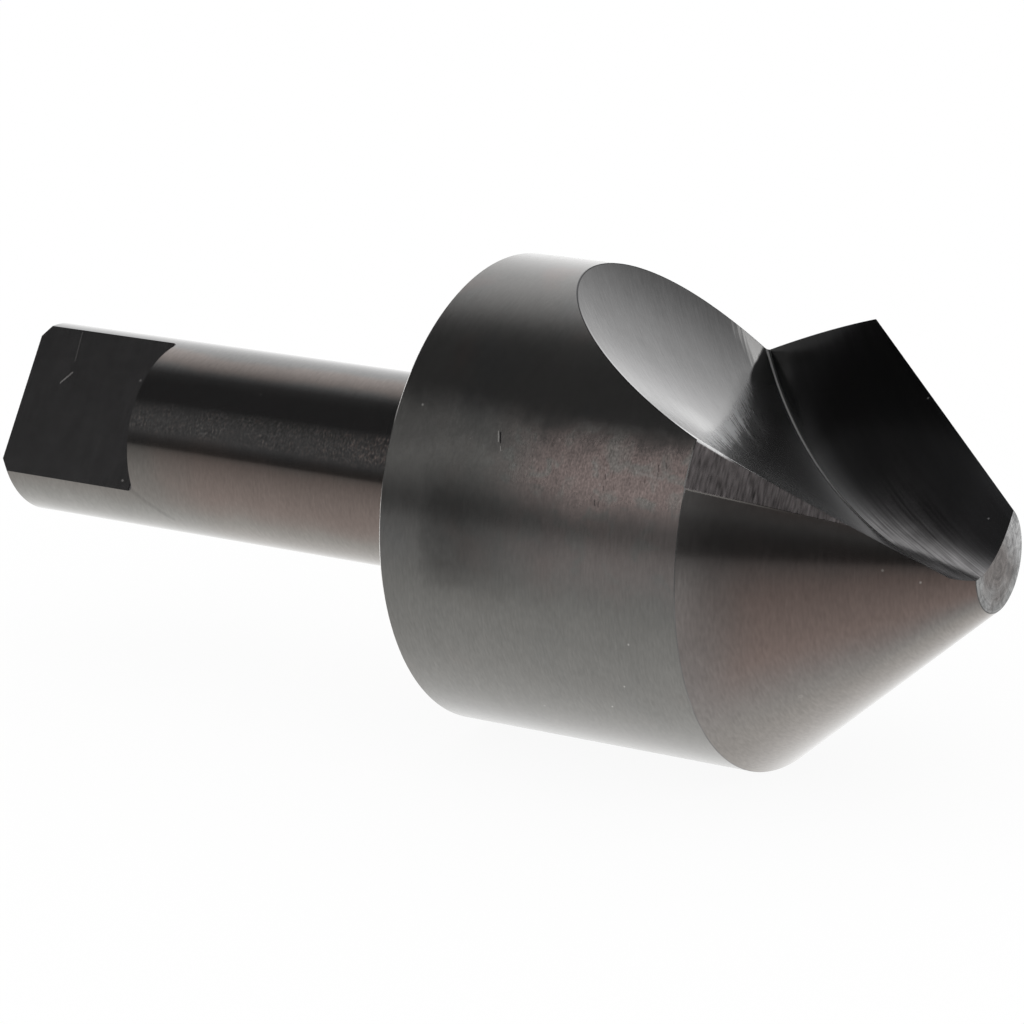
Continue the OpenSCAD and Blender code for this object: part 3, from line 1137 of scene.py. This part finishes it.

# %% [markdown]
# ## Shank and drive flat
# The shank is the smoothest part, for it has to run true in the chuck. Its mirror is sharper than the
# head's. Where the chuck's jaws and the clamping screw have been, the oxide is rubbed and the marks are a
# bit uneven. It is made as the head is, with windows of its own.

# %% Shank: marks, warm bands, grainy band and painted shade beside the head
place = Place("shank")
fine, hair, broad = place.marks(0.22, 1.4, 1), place.marks(0.15, 0.6, 0), place.marks(2.5, 12)
cloud, blotch = noise(place.point, 0.14, 4), noise(place.point, 0.5, 4)
grain, grit = place.marks(0.22, 0.36, 1), place.marks(0.16, 0.24, 0)
wander = cloud * 8
along_shank = smooth_range(place.x + cloud * 6, -37, -28)
warm = window(place.turn + wander, 170, 216, 16) * (along_shank * 0.75 + 0.25)
warm = warm.maths("MAXIMUM", window(place.turn + wander, 104, 119, 8) * 0.6)
lower = smooth_range(place.turn + wander, 196, 224)
near_head = smooth_range(place.x + cloud * 8, -24, -6)
grainy = window(place.turn + blotch * 4, 147, 164, 5) * (0.65 + blotch * 0.8 + near_head * 0.2)
streak = place.scratch((-38.4, -8.8, -3.5), (-34.6, -7.0, -6.5), 0.45)
specks = place.spot((-24.25, -6.27, 7.17), 0.14)
# Painted shade on the shank's upper side beside the head
shade_beside_head = smooth_range(place.x, -8, -1) * smooth_range(place.turn, 120, 100)
print(len(place.tree.nodes), "nodes for its marks and bands")

# %% Shank: colours and shine
top_steel, side_steel, low_steel = (0.183, 0.182, 0.181), (0.2, 0.197, 0.195), (0.228, 0.221, 0.206)
under_end, under_head = (0.26, 0.254, 0.238), (0.262, 0.246, 0.226)
warm_oxide, grainy_oxide, bare_metal = (0.252, 0.206, 0.186), (0.3, 0.245, 0.225), (0.7, 0.68, 0.66)

colour = tint(top_steel, side_steel, smooth_range(place.turn, 92, 104))
colour = tint(colour, low_steel, smooth_range(place.turn, 166, 176))
colour = tint(colour, warm_oxide, warm)
colour = tint(colour, tint(under_end, under_head, along_shank), lower)
colour = tint(colour, grainy_oxide, grainy * clamp(grain * 1.2 + near_head * 0.3, 0, 1))
marking = fine * 0.08 + hair * 0.11 + broad * 0.05 + cloud * 0.09
colour = shaded(colour, 1 + marking - streak * 0.14 - shade_beside_head * 0.16)
colour = shaded(colour, 1 + (grain + grit) * grainy * 0.42)
colour = tint(colour, bare_metal, clamp(specks, 0, 1))
metallic = clamp(0.992 - grainy * (0.014 + clamp(grain + grit, 0, 1) * 0.08), 0, 1)
roughness = clamp(0.11 + cloud * 0.04 + grainy * 0.1, 0.05, 1)
place.steel(colour, metallic, roughness, fine + hair * 0.5 + grain * grainy, 0.0005)

# %% Drive flat and its shoulder
milled_steel, bare_metal = (0.205, 0.2, 0.202), (0.75, 0.72, 0.7)

for name in ("drive_flat", "flat_shoulder"):
    place = Place(name)
    fine, broad = place.marks(0.3, 3), place.marks(1.5, 10)
    cloud, blotch = noise(place.point, 0.2, 4), noise(place.point, 0.9, 3, 0.5)
    long_scratch = place.scratch((-49.8, -2.4, 6.68), (-49.98, -0.83, 9.29), 0.08)
    short_scratch = place.scratch((-50.73, -3.65, 4.6), (-49.66, -3.02, 5.64), 0.11)
    nick = place.spot((-39.68, -8.24, -3.04), 0.2) + place.spot((-41.24, -2.91, 5.82), 0.16)
    bare = (short_scratch * 0.6).maths("MAXIMUM", long_scratch * 0.3).maths("MAXIMUM", nick * 0.5)
    colour = shaded(milled_steel, 1 + fine * 0.16 + broad * 0.12 + cloud * 0.16 + blotch * 0.2)
    colour = tint(colour, bare_metal, bare)
    metallic = 0.99 - (short_scratch + nick) * 0.14 - long_scratch * 0.04
    place.steel(colour, metallic, 0.2 + blotch * 0.06, fine + broad + blotch, 0.0008)

# %% [markdown]
# ## The flute
# The flute was ground last, so it is the cleanest steel on the tool. The wheel's grit leaves marks along
# its rim: long arcs in the scoop, and arcs beside the crease on the rake face. The scoop is bright. The
# rake face was ground with the corner of the wheel, finer and darker, and its steel is blue-black, with
# painted sheen beside the crease and towards the tip. In the scoop the light and the dark meet along a
# frayed border, because the marks spread each reflection sideways. Bump alone frays it too little at this
# size, so the border is also painted, as a painted reflection: a haze of paler, less metallic steel, by its
# distance from a sloping line. The corner beside the crease mirrors little but the dark rake face, so it is
# shaded, and more painted highlights and shade brighten the scoop's end and dim it by the crease.

# %% Scoop: marks and clouds
place = Place("scoop")
place.ground_by_wheel()
# The wheel's flank leaves this face, so its marks are spaced by how far they lie behind the rim's plane
_, place.across = place.wheel_gap()
fine, hair, broad = place.marks(0.3, 6, 1), place.marks(0.18, 1.6, 1), place.marks(1.6, 40)
strands, threads = place.marks(0.6, 30, 1), place.marks(0.3, 20, 1)
cloud, patchy = noise(place.point, 0.15, 3), noise(place.point, 0.5, 3, 0.5)
print(len(place.tree.nodes), "nodes for its marks and clouds")

# %% Scoop: lines along its rim
# Width in millimetres of the lip beside the land, painted bright as a reflection, by the place along the
# axis
LIP_WIDTH = [
    (27, 0.3),
    (28.3, 0.5),
    (30, 0.9),
    (31.3, 1.55),
    (32.2, 1.3),
    (33, 0.8),
    (34, 0.5),
    (36.5, 0.3),
]

below_body = head_r / MM - place.radius
below_cone = (apex_x / MM - place.x) * slant - place.radius
# Along the rim: a painted dark line and a painted glint; the lip is painted bright, with painted shadow
# under it
painted_dark_scoop_rim = smooth_range(below_body, 0.09, 0.04) * smooth_range(place.turn, 118, 108)
rim_glint = smooth_range(below_body, 0.3, 0.16) * smooth_range(place.turn, 112, 138) * 0.5
from_lip = below_cone.maths("MINIMUM", below_body) / curve(place.x, LIP_WIDTH)
lip = smooth_range(from_lip, 1.1, 0.7) * window(place.x, 27.8, 35.8, 1.8)
shadow_under_lip = smooth_range(from_lip, 1.05, 1.4) * smooth_range(from_lip, 3.2, 1.8)
shadow_under_lip = shadow_under_lip * window(place.x, 32.6, 37, 1.4)
print("the lip is at most", max(width for _, width in LIP_WIDTH), "mm wide")

# %% Scoop: painted highlight at its end, and the shaded corner beside the crease
# How wide the shaded corner is, by the place along the axis
CORNER_WIDTH = [(17, 1.1), (18, 0.8), (18.6, 0.55), (19.2, 0.65), (19.9, 1.0), (21.3, 1.9), (23, 2.6)]

beside = (place.x - 16) * 1.36 - place.across
in_corner = beside / curve(place.x, CORNER_WIDTH)
painted_highlight = smooth_range(place.across + (place.x - 15.4) * 0.25 + fine * 1.5 + strands, 4.5, 2.6)
painted_highlight = painted_highlight * smooth_range(in_corner, 1.2, 0.8)
crease_shade = smooth_range(in_corner + strands * 0.3, 0.55, 1.45) * smooth_range(place.x, 21.6, 19.6)
# A painted highlight: one spot of the scoop is made brighter
painted_bright_spot = smooth_range((place.point - Vector((26.1, -9.7, 11.7))).maths("LENGTH"), 4, 1)
print("the corner is at most", max(width for _, width in CORNER_WIDTH), "mm wide")

# %% Scoop: painted haze along the border of light and dark, a painted reflection
PAINTED_HAZE_SPREAD = [(19, 1.9), (21, 1.8), (23, 1.25), (25, 1), (28, 0.85), (33, 0.85)]
PAINTED_HAZE_ACROSS = [(-0.5, 0), (0.8, 1), (2.4, 1), (3.2, 0.76), (4.2, 0.44), (5.5, 0.26), (9, 0)]
PAINTED_HAZE_ALONG = [
    (18.6, 0),
    (20.3, 0.5),
    (22, 0.66),
    (23.5, 0.76),
    (25, 0.92),
    (27.5, 0.95),
    (29, 0.75),
    (31, 0.45),
    (34, 0.6),
    (37, 0),
]
PAINTED_DIMMING_ALONG = [(18.8, 0), (19.5, 0.28), (20.5, 0.32), (22.5, 0.24), (26, 0)]

from_border = beside + strands * 0.6 + smooth_range(place.x, 23.5, 29.5, 0, 2)
painted_haze = curve(from_border * curve(place.x, PAINTED_HAZE_SPREAD), PAINTED_HAZE_ACROSS) * curve(place.x, PAINTED_HAZE_ALONG)
painted_haze = clamp(painted_haze * (1 + threads * 1.5 + strands * 0.5 + hair * 0.8), 0, 1.6)
# Painted shade: the scoop is dimmed beside the crease
painted_dimming = smooth_range(beside, -1.8, 0.3) * curve(place.x, PAINTED_DIMMING_ALONG)
print("the haze reaches from", PAINTED_HAZE_ALONG[0][0], "to", PAINTED_HAZE_ALONG[-1][0], "mm along the axis")

# %% Scoop: colours and shine
ground_steel, painted_haze_steel, highlight_steel = (0.28, 0.278, 0.278), (0.42, 0.423, 0.43), (0.85, 0.84, 0.83)
rim_steel, lip_sheen_steel, dark_line = (0.8, 0.8, 0.8), (0.95, 0.95, 0.95), (0.04, 0.04, 0.04)

marking = fine * 0.1 + hair * 0.16 + broad * 0.1
colour = shaded(ground_steel, 1 + marking + cloud * 0.1 + patchy * 0.06)
colour = tint(colour, painted_haze_steel, clamp(painted_haze, 0, 1))
colour = tint(colour, highlight_steel, painted_highlight)
colour = shaded(colour, (1 - shadow_under_lip * 0.55) * (1 - painted_dimming))
colour = shaded(colour, 1 + painted_bright_spot * 0.3)
colour = tint(colour, rim_steel, rim_glint)
colour = tint(colour, lip_sheen_steel, lip)
colour = tint(colour, dark_line, painted_dark_scoop_rim)
corner_glow = smooth_range(beside, 0.8, 1.6) * smooth_range(place.x, 24, 20)
metallic = 0.985 - painted_highlight * 0.17 - corner_glow * 0.03 - painted_haze * 0.29 * (1 - shadow_under_lip * 0.6)
metallic = clamp(metallic - lip * 0.9 - rim_glint * smooth_range(place.x, 13, 26, 0, 0.35), 0, 1)
relief = fine + hair * 0.6 + broad + threads * painted_haze
roughness = 0.17 + fine * 0.06 + hair * 0.04 + painted_haze * 0.16
place.steel(colour, metallic, roughness, relief, 0.0035, crease_shade)

# %% Crease
place = Place("crease")
place.ground_by_wheel()
fine = place.marks(0.3, 6)
# A painted highlight along the crease's rounded corner; the crease is also darker towards the tip
line = window(place.fed, -0.82, -0.42, 0.16)
dark_steel, crease_highlight_grey = (0.12, 0.12, 0.12), (0.5, 0.5, 0.5)
colour = tint(dark_steel, crease_highlight_grey, line)
colour = shaded(colour, smooth_range(place.x, 46, 34, 0.6, 1) + fine * 0.2)
place.steel(colour, 0.99 - line * 0.1, 0.32, fine, 0.001)

# %% Rake face: marks, painted shade at the top, painted sheen beside the crease and at the open end
place = Place("rake_face")
place.ground_by_wheel()
fine, hair, broad = place.marks(0.32, 12), place.marks(0.17, 5, 1), place.marks(1.3, 40)
cloud, patchy = noise(place.point, 0.15, 3), noise(place.point, 0.5, 3)
open_end = smooth_range(place.x + cloud * 3, 33, 42) * smooth_range(place.fed + fine * 3, 14, 5)
# Painted shade in the top corner, and painted sheen beside the crease
painted_shade_top_corner = smooth_range(place.radius, 19, 20.5) * smooth_range(place.x, 27, 21)
sheen_beside_crease = smooth_range(place.fed + fine, 3.4, 0.4) * window(place.x, 25, 41, 4)
specks = place.scratch((39.3, 9.2, 11.5), (39.6, 8.85, 11.95), 0.12)
specks = specks + place.spot((49.01, 2.33, 3.23), 0.13)
print(len(place.tree.nodes), "nodes for its marks and bands")

# %% Rake face: colours and shine
blue_black, tip_sheen_grey = (0.1, 0.1, 0.102), (0.145, 0.145, 0.15)
sheen_grey, open_end_sheen_grey = (0.17, 0.17, 0.172), (0.195, 0.19, 0.192)
painted_shade_black, bare_metal = (0.06, 0.06, 0.06), (0.75, 0.75, 0.75)

# Lighter towards the tip, beside the crease and at the open end: painted sheen; darker at low turns:
# painted shade
colour = tint(blue_black, tip_sheen_grey, smooth_range(place.x, 36, 44))
colour = tint(colour, sheen_grey, sheen_beside_crease)
colour = tint(colour, open_end_sheen_grey, open_end)
colour = shaded(colour, smooth_range(place.x, 44, 48, 1, 1.3) * smooth_range(place.turn, 24, 31, 0.75, 1))
marking = fine * 0.7 + hair * 0.4 + broad * 0.3
colour = shaded(colour, 1 + marking * (0.3 + open_end) + patchy * open_end * 0.4)
colour = tint(colour, painted_shade_black, painted_shade_top_corner)
colour = tint(colour, bare_metal, clamp(specks * 0.7, 0, 1))
# Less metal near the back and beside the crease lifts the dark face a little: painted light
metallic = clamp(0.99 - specks * 0.18 - smooth_range(place.x, 29, 21) * 0.07 - sheen_beside_crease * 0.05, 0, 1)
place.steel(colour, metallic, 0.16 + fine * 0.06, fine + hair * 0.6 + broad, 0.0025)

# %% [markdown]
# ## Edges and hidden faces
# An edge of hardened steel is never sharp. It is rounded by a hair's breadth, so it shows as a thin bright
# or
# dark line. Its brightness is painted: painted glints and painted shade change along each edge, so each has
# a rule, and noise adds a little wear.
# The back of the head and the end of the shank were only turned: their marks are rings about the axis.

# %% Painted glints and shade along each edge
# Each rule gives an edge's painted glints and shade by its turn, with a little wear from noise
def cone_edge_glints(turn, wear):
    bright = window(turn + wear * 4, 149, 159, 4) * 0.26
    return bright + 0.23 - window(turn, 222, 250, 16) * 0.05


def back_edge_glints(turn, wear):
    bright = window(turn + wear * 3, 139, 151, 4) * 0.6
    return bright + window(turn + wear * 4, 168, 228, 6) * 0.75 + 0.14


edge_glint_rules = {
    "tip_edge": lambda turn, wear: wear * 0.02 + 0.12,
    "cone_edge": cone_edge_glints,
    "back_edge": back_edge_glints,
    "end_edge": lambda turn, wear: wear * 0.05 + 0.22,
}

# %% Edges
edge_glint_steel = (1.0, 0.97, 0.95)

for name, wear_rule in edge_glint_rules.items():
    place = Place(name)
    wear = noise(place.point, 0.6, 4)
    glint_and_wear = wear_rule(place.turn, wear)
    colour = shaded(edge_glint_steel, glint_and_wear * (1 + wear * 0.4))
    # Painted shade: the back edge turns black below turn 139
    painted_black = smooth_range(place.turn, 139, 133) * 0.75 if name == "back_edge" else None
    place.steel(colour, 1 - glint_and_wear * 0.3, 0.24 + wear * 0.05, wear, 0.0005, painted_black)

# %% Back of the head and end of the shank
turned_steel, brown_oxide = (0.2, 0.2, 0.2), (0.26, 0.215, 0.195)

for name in ("back_face", "end_face"):
    place = Place(name)
    place.across = place.radius
    rings, broad = place.marks(0.35, 30), place.marks(1.6, 60)
    cloud = noise(place.point, 0.14, 4)
    colour = tint(turned_steel, brown_oxide, smooth_range(cloud, -0.1, 0.4))
    colour = shaded(colour, 1 + rings * 0.3 + broad * 0.2 + cloud * 0.15)
    place.steel(colour, 0.97, 0.24 + rings * 0.08, rings + broad, 0.003)

print("finishes done:", sum(len(finish.node_tree.nodes) for finish in finishes.values()), "nodes")

# %% [markdown]
# ## The studio
# The tool lies on white paper, and the room about it is seen only in the steel, which shows little colour
# of its own. So the room is drawn as a plain grey picture that depends only on the direction of a ray: a
# wide soft light far behind the tool, a weak one in front, the paper below, and darkness overhead. Lamps
# could do the same, but they would show in the steel as hard spots. Rays from the camera see plain white,
# and rays that light a matt surface see a strength of 1. The world isn't sampled as a lamp, because such a
# sample would see that 1 where a mirrored ray sees the picture, and the steel would turn grainy.

# %% Directions in the studio
UP = Vector((0, 0, 1))

world = bpy.data.worlds.new("studio")
world.cycles.sampling_method = "NONE"
scene.world = world
tree = empty_tree(world)
ray = add_node(tree, "ShaderNodeTexCoord", output="Generated")
away = Vector((CAMERA_LOOKS.x, CAMERA_LOOKS.y, 0)).normalized()
back = ray.maths("DOT_PRODUCT", away)
height = ray.maths("DOT_PRODUCT", UP)
rightwards = ray.maths("DOT_PRODUCT", away.cross(UP))
print("away from the camera:", [round(x, 3) for x in away])

# %% The studio's lights
# Strengths by how far a ray points away from the camera, to its right, and up, where 1 is straight there
BACKLIGHT = [
    (0.2, 0.04),
    (0.34, 0.07),
    (0.42, 0.17),
    (0.5, 0.38),
    (0.58, 0.61),
    (0.7, 0.88),
    (0.8, 1.03),
    (0.9, 1.17),
    (1.0, 1.42),
]
RIGHT_SIDE = [
    (0.22, 1.0),
    (0.32, 0.8),
    (0.42, 0.64),
    (0.5, 0.56),
    (0.56, 0.43),
    (0.62, 0.27),
    (0.75, 0.22),
    (1.0, 0.4),
]
FRONT = [
    (0.0, 0.055),
    (0.06, 0.06),
    (0.12, 0.085),
    (0.22, 0.165),
    (0.45, 0.17),
    (0.6, 0.11),
    (0.72, 0.06),
    (1.0, 0.05),
]
print("the light behind is at most", max(strength for _, strength in BACKLIGHT))

# %% The studio's picture
DARKEST = 0.013
WHITE = (1, 1, 1, 1)

backlight = curve(back, BACKLIGHT) * curve(rightwards, RIGHT_SIDE)
# The front light is dimmer low down, straight behind the camera
dim = smooth_range(back, -0.6, -0.85) * smooth_range(height, 0.32, 0.15)
front = curve(height, FRONT) * smooth_range(back, 0.02, -0.22) * (1 - dim * 0.42)
# The paper ends at a horizon, which sinks a little behind the camera, and it is brightest towards the light
horizon = (back + 0.45).maths("MINIMUM", 0) * 0.12 - 0.02
down = (horizon - height).maths("MAXIMUM", 0)
below = (down ** 0.5 * 0.8 + 0.09) * (back * 0.3 + 1 + back.maths("MAXIMUM", 0) ** 2 * 0.75)
below = below * smooth_range(height - horizon, 0.02, -0.02)
studio = backlight.maths("MAXIMUM", front).maths("MAXIMUM", below) + DARKEST
shown = rays(tree, "Is Camera Ray", "Is Glossy Ray", "Is Transmission Ray")
picture = mix(studio, 1.0, rays(tree, "Is Camera Ray"))
light = mix(1.0, picture, shown)
glow = add_node(tree, "ShaderNodeBackground", {}, {"Color": WHITE, "Strength": light})
add_node(tree, "ShaderNodeOutputWorld", {}, {"Surface": glow})
print("studio:", len(tree.nodes), "nodes")

# %% [markdown]
# ## The floor
# The paper runs into the white background without an edge, and yet it keeps the tool's soft shadow. A plain
# matt floor would be grey somewhere, and a glowing one has no shadow. So it is both: mostly a glow at the
# background's strength, and a little matt paper that takes the shadow. The steel doesn't mirror it, because
# the studio's picture already holds the paper.

# %% Floor
FLOOR_HALF = 3
GLOW_SHARE = 0.93

corners = [(FLOOR_HALF * x, FLOOR_HALF * y, cad_low.z) for x, y in ((-1, -1), (1, -1), (1, 1), (-1, 1))]
floor_mesh = bpy.data.meshes.new("floor")
floor_mesh.from_pydata(corners, [], [(0, 1, 2, 3)])
floor = bpy.data.objects.new("floor", floor_mesh)
floor.visible_glossy = False
scene.collection.objects.link(floor)
paper = bpy.data.materials.new("white_paper")
floor_mesh.materials.append(paper)
tree = empty_tree(paper)
glow = add_node(tree, "ShaderNodeEmission", {}, {"Color": WHITE, "Strength": 1})
matt = add_node(tree, "ShaderNodeBsdfDiffuse", {}, {"Color": WHITE})
shown = rays(tree, "Is Camera Ray", "Is Glossy Ray", "Is Transmission Ray")
both = add_node(tree, "ShaderNodeMixShader", {}, {0: shown * GLOW_SHARE, 1: matt, 2: glow})
add_node(tree, "ShaderNodeOutputMaterial", {}, {"Surface": both})
scene.view_settings.view_transform = "Standard"
print("floor at", round(cad_low.z / MM, 2), "mm")
